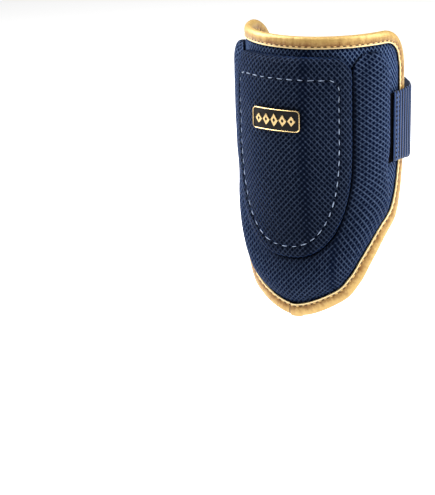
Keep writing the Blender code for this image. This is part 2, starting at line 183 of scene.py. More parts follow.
# Strap's section, half of it: shares of its half width
STRAP_SHARES = (-1.0, -0.985, -0.95, -0.9, -0.7, -0.45, -0.2, 0.0, 0.2, 0.45, 0.7, 0.9, 0.95, 0.985, 1.0)
# Strap's seams: how far from its end, share of the half width, and 1 outside or -1 on the arm's side
STRAP_SEAMS = ((0.0022, 0.93, 1), (0.0052, 0.93, 1), (0.003, 0.88, -1), (0.016, 0.88, -1))
STRAP_STITCH = (0.0034, 0.0024, 0.0007, 0.0006)
# Flap's face: millimetres out (less than 0) or in from its seam, then shares of the way to the middle
SEAM_OFFSETS = (-2.0, -1.2, -0.6, 0.0, 0.6, 1.2, 2.0, 3.2)
SEAM_SOFTNESS = 0.95
FLAP_FILLS = (0.07, 0.15, 0.24, 0.34, 0.45, 0.56, 0.67, 0.78, 0.88, 0.96)
FLAP_BACK = (0.97, 0.8, 0.6, 0.4, 0.2)
# Turn, rise and roll of the photograph's line of sight, in degrees
CAMERA_LOOK = (32.336, 17.278, -1.038)
CAMERA_LENS = 120.7
FLOOR_REACH = 30.0
FLOOR_GLOW = 0.53
WORLD_LIGHT = 0.20
# Each light's turn and rise in degrees, its distance, width and height in metres, and its watts
LIGHTS = {
    "left_softbox": (-78.0, 38.0, 0.85, 0.5, 0.9, 22.5),
    "right_softbox": (104.0, 36.0, 0.85, 0.5, 0.9, 16.0),
    "top_softbox": (20.0, 80.0, 1.6, 1.6, 1.6, 14.0),
}
STITCH_SIZES = ("Pitch", "Length", "Width", "Height")


def hex_colour(code):
    """An sRGB hex code as three shares of 1, still sRGB."""
    return tuple(int(code[k : k + 2], 16) / 255.0 for k in (1, 3, 5))


def linear(colour):
    """An sRGB colour, as a hex code or three shares of 1, turned to the linear RGBA that shaders use."""
    shares = hex_colour(colour) if isinstance(colour, str) else colour
    return (*((c / 12.92 if c <= 0.04045 else ((c + 0.055) / 1.055) ** 2.4) for c in shares), 1.0)


def length_setting(name, description, default):
    return bpy.props.FloatProperty(
        name=name, description=description, default=default, subtype="DISTANCE", unit="LENGTH"
    )


def pair_setting(name, description, default):
    return bpy.props.FloatVectorProperty(
        name=name, description=description, default=default, size=2, subtype="XYZ_LENGTH", unit="LENGTH"
    )


def colour_setting(name, description, code):
    return bpy.props.FloatVectorProperty(
        name=name, description=description, default=hex_colour(code), min=0.0, max=1.0, subtype="COLOR_GAMMA"
    )


def angle_setting(name, description, degrees):
    return bpy.props.FloatProperty(
        name=name, description=description, default=math.radians(degrees), subtype="ANGLE"
    )


class GuardClothSettings(bpy.types.PropertyGroup):
    """Sizes and colours of the mesh cloth and its stitches."""

    hole_pitch: pair_setting("Hole pitch", "From one hole to the next, across and down", (0.00365, 0.00455))
    pad_hole_pitch: pair_setting(
        "Pad's hole pitch", "The same on the side pad, whose mesh is pulled wider", (0.00545, 0.00390)
    )
    hole_width: length_setting("Hole width", "Width of one hole of the mesh", 0.0018)
    hole_height: length_setting("Hole height", "Height of one hole of the mesh", 0.0025)
    # The chevron places painted highlight: where the brighter slant of raised threads changes sides
    chevron_u: length_setting("Chevron", "Where the raised threads change their slant", 0.0165)
    pad_chevron_u: length_setting("Pad's chevron", "The same on the side pad, further to the right", 0.0455)
    thread: colour_setting("Thread", "Colour of the mesh's raised threads", "#313d53")
    ground: colour_setting("Ground", "Colour of the mesh between its threads", "#0b1528")
    hole: colour_setting("Hole", "Colour seen down the mesh's holes", "#02081a")
    stitch_pitch: length_setting("Stitch pitch", "From one flap stitch to the next", 0.0082)
    stitch_length: length_setting("Stitch length", "Thread that shows in one flap stitch", 0.0054)
    stitch_width: length_setting("Stitch width", "Width of the flap's thread", 0.0008)
    swell: length_setting("Swell", "Furthest that the padding may push its cloth out", 0.0016)


class GuardTrimSettings(bpy.types.PropertyGroup):
    """Sizes and colours of the tape, the badge and the strap."""

    tape_light: colour_setting("Tape, light", "Gold tape where it catches the light", "#ab8c50")
    # The dark colour is both rubbed wear and painted shade by the seam and in the puckers
    tape_dark: colour_setting("Tape, dark", "Gold tape where it is rubbed", "#6a4210")
    tape_lap: length_setting("Tape's end", "From the guard's tip along its edge to the open end", 0.0042)
    tape_stitch_pitch: length_setting("Tape stitch pitch", "From one tape stitch to the next", 0.0048)
    tape_stitch_length: length_setting("Tape stitch length", "Thread that shows in one tape stitch", 0.0031)
    tape_stitch_width: length_setting("Tape stitch width", "Width of the tape's thread", 0.0009)
    rib_pitch: length_setting("Rib pitch", "From one rib of the elastic to the next", 0.0044)
    rib_height: length_setting("Rib height", "How far a rib stands up", 0.0005)
    elastic: colour_setting("Elastic", "Colour of the strap", "#2c3d60")


class GuardStageSettings(bpy.types.PropertyGroup):
    """The camera's place and the floor."""

    camera_turn: angle_setting("Camera turn", "Camera's angle round the guard", 28.5)
    camera_rise: angle_setting("Camera rise", "Camera's angle above level", 12.85)
    camera_distance: length_setting("Camera distance", "From the guard's origin to the camera", 1.3)
    floor_drop: length_setting("Floor drop", "How far the floor lies below the guard", 0.020)


def smooth(share):
    """Ease a share from 0 to 1 with no kink at either end."""
    share = min(max(share, 0.0), 1.0)
    return share * share * (3.0 - 2.0 * share)


def mix(start, end, share):
    return start + (end - start) * share


def section(u, flatter=0.0):
    """Place and turn, seen from above, of the point u along the shell's outer face."""
    radius = FRONT_RADIUS + flatter
    reach = abs(u)
    front = radius * FRONT_TURN
    if reach <= front:
        turn = reach / radius
        x = radius * math.sin(turn)
        y = -radius * math.cos(turn)
    else:
        turn = FRONT_TURN + (reach - front) / WING_RADIUS
        step = radius - WING_RADIUS
        x = step * math.sin(FRONT_TURN) + WING_RADIUS * math.sin(turn)
        y = -step * math.cos(FRONT_TURN) - WING_RADIUS * math.cos(turn)
    return math.copysign(x, u), y + flatter, math.copysign(turn, u)


def wrap(u, z, lift):
    """Lay the flat point (u, z) round the arm, lift above the shell's outer face."""
    below = max(BEND_TOP - z, 0.0) / (BEND_TOP - SHELL_TIP)
    lean = TIP_LEAN * max(TAPER_TOP - z, 0.0) / (TAPER_TOP - SHELL_TIP)
    flatter = FLATTER_BY * smooth((FLATTER_TOP - z) / (FLATTER_TOP - SHELL_TIP))
    x, y, turn = section(u + lean, flatter)
    return Vector((x + lift * math.sin(turn), y - lift * math.cos(turn) + BEND_DEPTH * below**1.5, z))


def outward(u, z):
    """Direction away from the arm at a flat point."""
    return (wrap(u, z, 0.01) - wrap(u, z, 0.0)).normalized()


def curve_through(points, before, after, steps=16):
    """Smooth curve through flat points; before and after set its direction at the ends."""
    knots = [before, *points, after]
    line = []
    for k in range(1, len(knots) - 2):
        p0, p1, p2, p3 = (Vector(p) for p in knots[k - 1 : k + 3])
        for step in range(steps):
            t = step / steps
            bend = (2.0 * p0 - 5.0 * p1 + 4.0 * p2 - p3) * t**2 + (3.0 * p1 - p0 - 3.0 * p2 + p3) * t**3
            line.append(0.5 * (2.0 * p1 + (p2 - p0) * t + bend))
    line.append(Vector(points[-1]))
    return line


def arc(centre, radius, start, end, steps=24):
    """Flat arc; angles run counter-clockwise from +u."""
    angles = [mix(start, end, step / steps) for step in range(steps + 1)]
    return [Vector((centre[0] + radius * math.cos(a), centre[1] + radius * math.sin(a))) for a in angles]


def run_lengths(line):
    """How far along the line each of its points lies."""
    lengths = [0.0]
    for a, b in zip(line, line[1:]):
        lengths.append(lengths[-1] + (b - a).length)
    return lengths


def equal_steps(lengths, count):
    """(distance, point before it, share of the way to the next) for count equal steps along a line."""
    found = []
    k = 0
    for step in range(count + 1):
        target = lengths[-1] * step / count
        while k < len(lengths) - 2 and lengths[k + 1] < target:
            k += 1
        span = max(lengths[k + 1] - lengths[k], 1e-9)
        found.append((target, k, min((target - lengths[k]) / span, 1.0)))
    return found


def spaced(line, count):
    """The same line as count equal steps."""
    return [line[k].lerp(line[k + 1], share) for _, k, share in equal_steps(run_lengths(line), count)]


def mirrored(half):
    """Close a right half, drawn from the top middle to the bottom middle, with its mirror image."""
    return half + [Vector((-p.x, p.y)) for p in half[-2:0:-1]]


def inset(loop, distance):
    """The loop moved in; distance is one length or one for each point."""
    count = len(loop)
    moved = []
    for i, point in enumerate(loop):
        along = loop[(i + 1) % count] - loop[i - 1]
        inward = Vector((along.y, -along.x)).normalized()
        moved.append(point + inward * (distance[i] if isinstance(distance, list) else distance))
    return moved


def shell_half():
    """Right half of the guard's outline, from the middle of the top edge to the tip."""
    ear_start = SHELL_HALF_WIDTH - EAR_RADIUS
    ear_top = SHELL_TOP + TOP_RISE
    shares = [step / 30 for step in range(30)]
    top = [Vector((ear_start * share, SHELL_TOP + TOP_RISE * smooth(share))) for share in shares]
    ear = arc((ear_start, ear_top - EAR_RADIUS), EAR_RADIUS, math.pi / 2, 0.0)
    drop = TAPER_TOP - SHELL_TIP
    rows = [(SHELL_HALF_WIDTH * width, TAPER_TOP - drop * down) for down, width in TAPER_ROWS]
    before = (SHELL_HALF_WIDTH, TAPER_TOP + drop * TAPER_ROWS[1][0])
    after = (-rows[-1][0], rows[-1][1])
    return top + ear + curve_through([*rows, (0.0, SHELL_TIP)], before, after)


def tape_share(p):
    """The tape is sewn narrower along the top edge."""
    return mix(1.0, TAPE_TOP_SHARE, smooth((p.y - TAPE_TOP_FROM) / TAPE_TOP_RUN))


def flap_half(in_side, in_top, in_bottom, corner_radius):
    """Right half of the flap's outline, or of a line set in from it by the given lengths."""
    half_width = FLAP_HALF_WIDTH - in_side
    top_level = FLAP_TOP - in_top
    bottom_level = FLAP_BOTTOM + in_bottom
    corner = (half_width - corner_radius, top_level - corner_radius)
    line = [Vector((corner[0] * step / 20, top_level)) for step in range(20)]
    line += arc(corner, corner_radius, math.pi / 2, 0.0)
    drop = FLAP_ROUND_LENGTH - in_bottom
    for step in range(1, 61):
        angle = math.pi / 2 * step / 60
        u = half_width * max(math.cos(angle), 0.0) ** FLAP_SQUARENESS
        line.append(Vector((u, bottom_level + drop * (1.0 - math.sin(angle) ** FLAP_SQUARENESS))))
    line[-1].x = 0.0
    return line


def middle_line(loop, narrow):
    """The upright middle line that a panel's loops close on, a point for each point of the loop."""
    top = max(p.y for p in loop)
    bottom = min(p.y for p in loop)
    return [Vector((0.0, mix(bottom + narrow, top - narrow, (p.y - bottom) / (top - bottom)))) for p in loop]


def laid(loop, lift):
    """Wrap a flat loop; lift is one height or one for each point."""
    lifts = lift if isinstance(lift, list) else [lift] * len(loop)
    return [wrap(*p, high) for p, high in zip(loop, lifts)]


def toward(loop, middle, share):
    return [p.lerp(m, share) for p, m in zip(loop, middle)]


def shut_pairs(bm, row):
    """Close a narrow symmetric loop by joining each point to its mirror image."""
    count = len(row)
    half = count // 2
    faces = [bm.faces.new((row[0], row[1], row[count - 1]))]
    for k in range(1, half - 1):
        faces.append(bm.faces.new((row[k], row[k + 1], row[count - k - 1], row[count - k])))
    faces.append(bm.faces.new((row[half - 1], row[half], row[half + 1])))
    return faces


def shut_fan(bm, row):
    """Close a small loop with faces that meet at its middle."""
    centre = bm.verts.new(sum((v.co for v in row), Vector()) / len(row))
    return [bm.faces.new((a, b, centre)) for a, b in zip(row, row[1:] + row[:1])]


def add_body(bm, rows, flats, shut=None, slots=None):
    """Add one closed body: rows of points, their flat places, how its ends close, a slot for each row."""
    slots = slots or [0] * len(rows)
    cut = bm.loops.layers.uv.get("cut") or bm.loops.layers.uv.new("cut")
    verts = [[bm.verts.new(p) for p in row] for row in rows]
    place = {v: f for row, flat in zip(verts, flats) for v, f in zip(row, flat)}
    count = len(verts[0])
    pairs = list(zip(range(len(verts)), range(1, len(verts))))
    if shut is None:
        pairs.append((len(verts) - 1, 0))
    made = []
    for near, far in pairs:
        for i in range(count):
            j = (i + 1) % count
            face = bm.faces.new((verts[near][i], verts[near][j], verts[far][j], verts[far][i]))
            face.material_index = slots[near]
            made.append(face)
    if shut is not None:
        for index in (0, -1):
            for face in shut(bm, verts[index]):
                face.material_index = slots[index]
                made.append(face)
    for face in made:
        middle = sum((place[v] for v in face.verts if v in place), Vector((0.0, 0.0)))
        middle /= sum(1 for v in face.verts if v in place)
        face.smooth = True
        for corner in face.loops:
            corner[cut].uv = place.get(corner.vert, middle)


def add_levels(bm, levels, shut=None, slots=None):
    """Add one closed body from levels, which are pairs of a flat loop and its lift."""
    add_body(bm, [laid(*level) for level in levels], [flat for flat, _ in levels], shut, slots)


def finish_piece(name, bm, materials=(), sharp=None):
    """Turn the finished bodies into one named object with its materials."""
    bmesh.ops.recalc_face_normals(bm, faces=bm.faces)
    mesh = bpy.data.meshes.new(name)
    bm.to_mesh(mesh)
    bm.free()
    if sharp:
        mesh.set_sharp_from_angle(angle=math.radians(sharp))
    for made in materials:
        mesh.materials.append(made)
    piece = bpy.data.objects.new(name, mesh)
    bpy.context.scene.collection.objects.link(piece)
    return piece


def one_body(name, rows, flats, shut, materials, sharp=None):
    """A piece with one closed body."""
    bm = bmesh.new()
    add_body(bm, rows, flats, shut)
    return finish_piece(name, bm, materials, sharp)


def applied(piece):
    """Turn a piece's modifiers into plain mesh."""
    graph = bpy.context.evaluated_depsgraph_get()
    mesh = bpy.data.meshes.new_from_object(piece.evaluated_get(graph), depsgraph=graph)
    mesh.name = piece.name
    piece.modifiers.clear()
    piece.data = mesh
    return piece


def smoother(piece):
    """Round a swelled piece with one subdivision."""
    rounded = piece.modifiers.new("Smoother", "SUBSURF")
    rounded.levels = 1
    rounded.render_levels = 1
    applied(piece)


def swell(piece, held, cap):
    """Let the padding push the cloth out by a short cloth simulation; held says how firmly, 0 to 1."""
    rest = [v.co.copy() for v in piece.data.vertices]
    group = piece.vertex_groups.new(name="sewn")
    for index, weight in enumerate(held):
        group.add([index], weight, "REPLACE")
    cloth = piece.modifiers.new("Cloth", "CLOTH")
    fabric = cloth.settings
    fabric.quality = 5
    fabric.mass = 0.3
    fabric.use_pressure = True
    fabric.uniform_pressure_force = 4.0
    fabric.tension_stiffness = 12.0
    fabric.compression_stiffness = 12.0
    fabric.shear_stiffness = 5.0
    fabric.bending_stiffness = 0.8
    fabric.vertex_group_mass = "sewn"
    fabric.effector_weights.gravity = 0.0
    cloth.point_cache.frame_start = 1
    cloth.point_cache.frame_end = SWELL_FRAMES
    for step in range(SWELL_FRAMES):
        bpy.context.scene.frame_set(step + 1)
    applied(piece)
    bpy.context.scene.frame_set(1)
    piece.vertex_groups.clear()
    for v, start in zip(piece.data.vertices, rest):
        move = v.co - start
        if move.length > cap:
            v.co = start + move.normalized() * cap
    piece.data.update()


def fill(node, *values, **named):
    """Set or link a node's inputs: values in order for the first ones, names with _ for a space."""
    used = [socket for socket in node.inputs if socket.enabled]
    by_name = {socket.name.replace(" ", "_"): socket for socket in reversed(used)}
    for socket, value in [*zip(used, values), *((by_name[name], value) for name, value in named.items())]:
        if isinstance(value, bpy.types.NodeSocket):
            node.id_data.links.new(value, socket)
        else:
            socket.default_value = value


def add_node(tree, kind, *values, out=None, **named):
    """Add a node, set its settings and fill its inputs; gives the output named out, or the first in use.

    A name with a small first letter is a setting, any other an input. A kind with no Node in its name
    is a shader node.
    """
    node = tree.nodes.new(kind if "Node" in kind else "ShaderNode" + kind)
    for name in [name for name in named if name[0].islower()]:
        setattr(node, name, named.pop(name))
    fill(node, *values, **named)
    return node.outputs[out] if out else next((socket for socket in node.outputs if socket.enabled), None)


def new_material(name, **inputs):
    """A material, its one Principled shader with these inputs, and add_node for its tree."""
    made = bpy.data.materials.new(name)
    made.use_nodes = True
    shader = made.node_tree.nodes["Principled BSDF"]
    fill(shader, **inputs)
    return made, shader, functools.partial(add_node, made.node_tree)


def air_mesh(name, painted_light_tint, pitch, shaded, chevron):
    """Polyester air mesh, warp-knitted and laminated to foam: a dull cloth with staggered open holes.

    The filaments are slightly shiny, so they lighten at grazing angles. tint makes this copy of the cloth
    lighter or darker than the others, as painted light and shade. shaded is the openness, from 0 to 1,
    below which the painted shade in a crease is at its darkest. chevron is the u where the main slant
    changes sides.
    """
    cloth = bpy.context.scene.guard_cloth
    made, shader, add = new_material(
        name,
        Roughness=0.55,
        Specular_IOR_Level=0.01,
        Sheen_Weight=0.26,
        Sheen_Roughness=0.22,
        Sheen_Tint=linear("#3d70cf"),
    )
    flat = add("UVMap", uv_map="cut")
    # Hand of the knit: the rows wander by about 0.3 mm over 25 mm
    drift = add("TexNoise", out="Color", Vector=flat, Scale=40.0, Detail=1.0)
    centred = add("VectorMath", drift, (0.5, 0.5, 0.5), operation="SUBTRACT")
    pushed = add("VectorMath", centred, (0.0012,) * 3, flat, operation="MULTIPLY_ADD")
    cell = add("VectorMath", pushed, (1 / pitch[0], 1 / pitch[1], 0.0), operation="MULTIPLY")
    hole_shape = (2 * pitch[0] / cloth.hole_width, 2 * pitch[1] / cloth.hole_height, 0.0)
    reaches = []
    for shift in (0.5, 0.0):
        moved = add("VectorMath", cell, (shift, shift, 0.0), operation="ADD")
        part = add("VectorMath", moved, operation="FRACTION")
        offset = add("VectorMath", part, (0.5, 0.5, 0.0), operation="SUBTRACT")
        scaled = add("VectorMath", offset, hole_shape, operation="MULTIPLY")
        reaches.append(add("VectorMath", scaled, operation="LENGTH"))
    nearest = add("Math", *reaches, operation="MINIMUM")
    solid = add("MapRange", nearest, From_Min=0.70, From_Max=1.25, interpolation_type="SMOOTHSTEP")
    across, down, _ = add("SeparateXYZ", cell).node.outputs
    ridges = []
    for direction in ("SUBTRACT", "ADD"):
        slant = add("Math", across, down, operation=direction)
        turned = add("Math", slant, 2 * math.pi, operation="MULTIPLY")
        wave = add("Math", turned, operation="COSINE")
        ridges.append(add("Math", wave, -0.5, 0.5, operation="MULTIPLY_ADD"))
    # The main slant changes sides at the chevron; the other slant's threads are thinner. The brighter slant
    # on each side is painted highlight, for the ridges that face the light
    flat_u, flat_z, _ = add("SeparateXYZ", flat).node.outputs
    start, end = chevron - CHEVRON_BLEND, chevron + CHEVRON_BLEND
    side = add("MapRange", flat_u, From_Min=start, From_Max=end, interpolation_type="SMOOTHSTEP")
    lean = add("Mix", side, *ridges, data_type="FLOAT")
    other = add("Mix", side, *ridges[::-1], data_type="FLOAT")
    main = add("Math", lean, 2.0, operation="POWER")
    thin = add("Math", other, 3.0, operation="POWER")
    weaker = add("Math", thin, 0.80, operation="MULTIPLY")
    ridge = add("Math", main, weaker, operation="MAXIMUM")
    # Filaments of about 0.4 mm, drawn at 0.9 mm so that they show
    filament = add("TexNoise", Vector=flat, Scale=1100.0, Detail=2.0)
    # The crests of the raised threads take the thread colour, partly their own and partly painted highlight
    crest = add("Math", ridge, filament, operation="MULTIPLY")
    bright = add("MapRange", crest, From_Min=0.10, From_Max=0.58, interpolation_type="SMOOTHSTEP")
    # Snags and uneven tension lighten or darken a few threads at a time, over about 3 mm; the lightest go
    # past the thread colour as painted glints
    uneven = add("TexNoise", Vector=flat, Scale=330.0, Detail=3.0, Roughness=0.7)
    lively = add("MapRange", uneven, From_Min=0.3, From_Max=0.7, To_Min=0.35, To_Max=1.70)
    bright = add("Math", bright, lively, operation="MULTIPLY")
    hole, ground, thread = (
        linear([c * t for c, t in zip(colour, painted_light_tint)]) for colour in (cloth.hole, cloth.ground, cloth.thread)
    )
    face = add("Mix", bright, ground, thread, data_type="RGBA", clamp_factor=False)
    colour = add("Mix", solid, hole, face, data_type="RGBA")
    # Painted shade: cloth is darkened in creases, by how much its neighbours up to 18 mm away hide it
    crease = add("AmbientOcclusion", out="AO", Distance=0.018, samples=6)
    shade = add("MapRange", crease, From_Min=shaded, From_Max=0.95)
    # Painted shade: toward the tip the mesh is darkened, down to 0.56 of its colour
    flatter = add("MapRange", flat_z, From_Min=-0.125, From_Max=-0.005, To_Min=0.56, To_Max=1.0)
    shade = add("Math", shade, flatter, operation="MULTIPLY")
    dark = add("Mix", shade, linear("#02040a"), colour, data_type="RGBA")
    raised = add("Math", ridge, 0.45, 0.55, operation="MULTIPLY_ADD")
    height = add("Math", raised, solid, operation="MULTIPLY")
    grain = add("Math", filament, 0.25, height, operation="MULTIPLY_ADD")
    fill(shader, Base_Color=dark, Normal=add("Bump", Strength=0.8, Distance=0.0006, Height=grain))
    return made


def knit_lining(name):
    """Brushed polyester tricot on the arm's side: dull, soft and finely ribbed."""
    made, shader, add = new_material(
        name, Roughness=0.85, Specular_IOR_Level=0.1, Sheen_Weight=0.05, Sheen_Roughness=0.4
    )
    flat = add("UVMap", uv_map="cut")
    # Wales 2.4 mm apart, drawn coarser than tricot's 0.8 mm so that they show
    wale = add("TexWave", out="Fac", Vector=flat, Scale=130.0, Distortion=0.6, Detail=1.0)
    nap = add("TexNoise", Vector=flat, Scale=900.0, Detail=3.0)
    both = add("Math", wale, nap, operation="ADD")
    shade = add("Mix", both, linear("#070b14"), linear("#111828"), data_type="RGBA")
    fill(shader, Base_Color=shade, Normal=add("Bump", Strength=0.35, Distance=0.0003, Height=both))
    return made


def gold_tape_material(name):
    """Polyurethane-coated tape with a gold pearl finish: satin and creased, with painted shade that darkens
    it by its seam and painted light on its outer edge and lip.
    """
    trim = bpy.context.scene.guard_trim
    made, shader, add = new_material(
        name, Metallic=0.30, Roughness=0.42, Specular_IOR_Level=0.35, Coat_Weight=0.05, Coat_Roughness=0.3
    )
    place = add("TexCoord", out="Object")
    flat = add("UVMap", uv_map="cut")
    # Puckers about 4 mm apart that run across the tape, and grain of 1.5 mm
    stretched = add("VectorMath", flat, (1.0, 0.25, 0.0), operation="MULTIPLY")
    pucker = add("TexNoise", Vector=stretched, Scale=260.0, Detail=2.0)
    creased = add("TexNoise", Vector=place, Scale=650.0, Detail=3.0)
    rubbed = add("TexNoise", Vector=place, Scale=45.0, Detail=2.0)
    along, inward, _ = add("SeparateXYZ", flat).node.outputs
    # Painted light: the tape lightens from its seam out toward its rolled outer edge
    clear = add("MapRange", inward, From_Min=0.0084, From_Max=0.0020, interpolation_type="SMOOTHSTEP")
    # Painted highlight: a lighter line along the tape's rolled lip
    painted_lip_highlight = add("MapRange", inward, From_Min=0.0090, From_Max=0.0098, interpolation_type="SMOOTHSTEP")
    # Puckers lighten and darken the tape as painted light and shade; the rubbed mottles are its own wear and
    # the grain its own tone
    base = add("Math", pucker, 1.25, -1.12, operation="MULTIPLY_ADD")
    for layer, weight in ((rubbed, 0.50), (creased, 0.80), (clear, 0.80)):
        base = add("Math", layer, weight, base, operation="MULTIPLY_ADD")
    share = add("Clamp", base)
    body = add("Mix", share, linear(trim.tape_dark), linear(trim.tape_light), data_type="RGBA")
    colour = add("Mix", painted_lip_highlight, body, linear("#d9c08c"), data_type="RGBA")
    # Painted shade in the seam's groove and under the step at the tape's open end
    lit_away_from_seam = []
    for distance, line, run in ((inward, SEAM_INSET, 0.0009), (along, trim.tape_lap + 0.0003, 0.0010)):
        away = add("Math", distance, line, operation="SUBTRACT")
        away = add("Math", away, operation="ABSOLUTE")
        lit_away_from_seam.append(add("MapRange", away, From_Min=0.0003, From_Max=run))
    seam_light_share = add("Math", *lit_away_from_seam, operation="MINIMUM")
    seam_shaded = add("Mix", seam_light_share, linear("#4c3212"), colour, data_type="RGBA")
    height = add("Math", pucker, 2.0, creased, operation="MULTIPLY_ADD")
    fill(shader, Base_Color=seam_shaded, Normal=add("Bump", Strength=0.45, Distance=0.0008, Height=height))
    return made


def thread_material(name, code, shine):
    """Bonded polyester sewing thread: twisted, with a slight shine."""
    made, shader, add = new_material(
        name, Base_Color=linear(code), Roughness=0.45, Specular_IOR_Level=shine, Sheen_Weight=0.05
    )
    # The twist of a 0.4 mm thread, drawn at 1.2 mm so that it shows
    twist = add("TexWave", out="Fac", Vector=add("TexCoord", out="Object"), Scale=260.0, Distortion=1.0)
    fill(shader, Normal=add("Bump", Strength=0.4, Distance=0.0002, Height=twist))
    return made


def elastic_material(name):
    """Woven ribbed elastic: dull filament yarn over rubber, with painted shade in the grooves between the
    ribs and painted highlight on their tops.
    """
    trim = bpy.context.scene.guard_trim
    made, shader, add = new_material(
        name, Roughness=0.5, Specular_IOR_Level=0.05, Sheen_Weight=0.22, Sheen_Roughness=0.3
    )
    flat = add("UVMap", uv_map="cut")
    along, across, _ = add("SeparateXYZ", flat).node.outputs
    # Weft yarns run along the strap, drawn 1.8 mm apart, and dot each rib
    waves = []
    for distance, pitch in ((along, trim.rib_pitch), (across, 0.0018)):
        phase = add("Math", distance, 2 * math.pi / pitch, operation="MULTIPLY")
        waves.append(add("Math", phase, operation="COSINE"))
    yarn = add("TexNoise", Vector=flat, Scale=700.0, Detail=2.0)
    mixed = add("Math", waves[0], 0.66, 0.10, operation="MULTIPLY_ADD")
    for layer, weight in ((waves[1], 0.10), (yarn, 0.30)):
        mixed = add("Math", layer, weight, mixed, operation="MULTIPLY_ADD")
    # Painted shade and highlight: the grooves take the elastic's colour at 0.15, the ribs' tops at 1.12
    dark = linear([c * 0.15 for c in trim.elastic])
    light = linear([min(c * 1.12, 1.0) for c in trim.elastic])
    colour = add("Mix", mixed, dark, light, data_type="RGBA")
    fill(shader, Base_Color=colour, Normal=add("Bump", Strength=0.5, Distance=0.0002, Height=mixed))
    return made


def hook_material(name):
    """Nylon hook tape: black, with a stiff glint on its hooks."""
    made, shader, add = new_material(
        name, Base_Color=linear("#010103"), Roughness=0.8, Specular_IOR_Level=0.02
    )
    hooks = add("TexVoronoi", out="Distance", Vector=add("UVMap", uv_map="cut"), Scale=800.0)
    fill(shader, Normal=add("Bump", Strength=0.8, Distance=0.0004, Height=hooks))
    return made


def plated_metal(name, code):
    """Die-cast zinc, gold-plated and polished."""
    made, shader, add = new_material(name, Base_Color=linear(code), Metallic=1.0, Roughness=0.24)
    polish = add("TexNoise", Vector=add("TexCoord", out="Object"), Scale=900.0, Detail=3.0)
    fill(shader, Roughness=add("MapRange", polish, To_Min=0.18, To_Max=0.34))
    return made


def dark_enamel(name):
    """Soft enamel filled into the badge's field and domed clear: near black, with a wet gloss."""
    made, shader, add = new_material(
        name, Roughness=0.35, Specular_IOR_Level=0.08, Coat_Weight=0.05, Coat_Roughness=0.08
    )
    cloud = add("TexNoise", Vector=add("TexCoord", out="Object"), Scale=300.0, Detail=2.0)
    fill(shader, Base_Color=add("Mix", cloud, linear("#040303"), linear("#120d09"), data_type="RGBA"))
    return made


def stitch_tree():
    """Geometry Nodes: a rounded stitch every pitch along a line, lying on the cloth."""
    tree = bpy.data.node_groups.new("stitch_row", "GeometryNodeTree")
    face = tree.interface
    face.new_socket("Geometry", in_out="INPUT", socket_type="NodeSocketGeometry")
    for name in STITCH_SIZES:
        face.new_socket(name, in_out="INPUT", socket_type="NodeSocketFloat")
    face.new_socket("Thread", in_out="INPUT", socket_type="NodeSocketMaterial")
    face.new_socket("Geometry", in_out="OUTPUT", socket_type="NodeSocketGeometry")
    add = functools.partial(add_node, tree)
    given = add("NodeGroupInput").node.outputs
    line = add("GeometryNodeMeshToCurve", given["Geometry"])
    evened = add("GeometryNodeResampleCurve", Curve=line, Length=given["Pitch"], mode="LENGTH")
    along = add("GeometryNodeInputTangent")
    up = add("GeometryNodeInputNamedAttribute", Name="up", data_type="FLOAT_VECTOR")
    turned = add("FunctionNodeAxesToRotation", along, up, primary_axis="X", secondary_axis="Z")
    # No two hand-guided stitches lie or pull quite alike
    wobble, length = (
        add("FunctionNodeRandomValue", Min=low, Max=high, Seed=seed, data_type="FLOAT_VECTOR")
        for low, high, seed in (
            ((-0.06, -0.05, -0.09), (0.06, 0.05, 0.09), 7),
            ((0.74, 0.85, 0.9), (1.08, 1.15, 1.1), 11),
        )
    )
    loose = add("FunctionNodeEulerToRotation", wobble)
    angle = add("FunctionNodeRotateRotation", turned, loose, rotation_space="LOCAL")
    bead = add("GeometryNodeMeshUVSphere", Segments=10, Rings=7, Radius=0.5)
    size = add("CombineXYZ", given["Length"], given["Width"], given["Height"])
    shaped = add("GeometryNodeTransform", Geometry=bead, Scale=size)
    soft = add("GeometryNodeSetShadeSmooth", shaped)
    placed = add("GeometryNodeInstanceOnPoints", Points=evened, Instance=soft, Rotation=angle, Scale=length)
    real = add("GeometryNodeRealizeInstances", placed)
    add("NodeGroupOutput", add("GeometryNodeSetMaterial", Geometry=real, Material=given["Thread"]))
    return tree


def stitch_row(name, lines, sizes, thread):
    """A piece of stitches along lines of (place, up); sizes are the pitch, length, width and height."""
    bm = bmesh.new()
    layer = bm.verts.layers.float_vector.new("up")
    for line, is_loop in lines:
        verts = []
        for place, up in line:
            verts.append(bm.verts.new(place))
            verts[-1][layer] = up
        for a, b in zip(verts, verts[1:] + verts[:1] * is_loop):
            bm.edges.new((a, b))
    piece = finish_piece(name, bm)
    tree = bpy.data.node_groups.get("stitch_row") or stitch_tree()
    nodes = piece.modifiers.new("stitches", "NODES")
    nodes.node_group = tree
    values = {**dict(zip(STITCH_SIZES, sizes)), "Thread": thread}
    for item in tree.interface.items_tree:
        if item.in_out == "INPUT" and item.name in values:
            nodes[item.identifier] = values[item.name]
    applied(piece)
    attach(piece, "root")
    return piece


def surface_line(loop, lift):
    """A line of (place, up) that runs over flat points, lift above the shell's face."""
    return [(place, outward(*p)) for place, p in zip(laid(loop, lift), loop)]


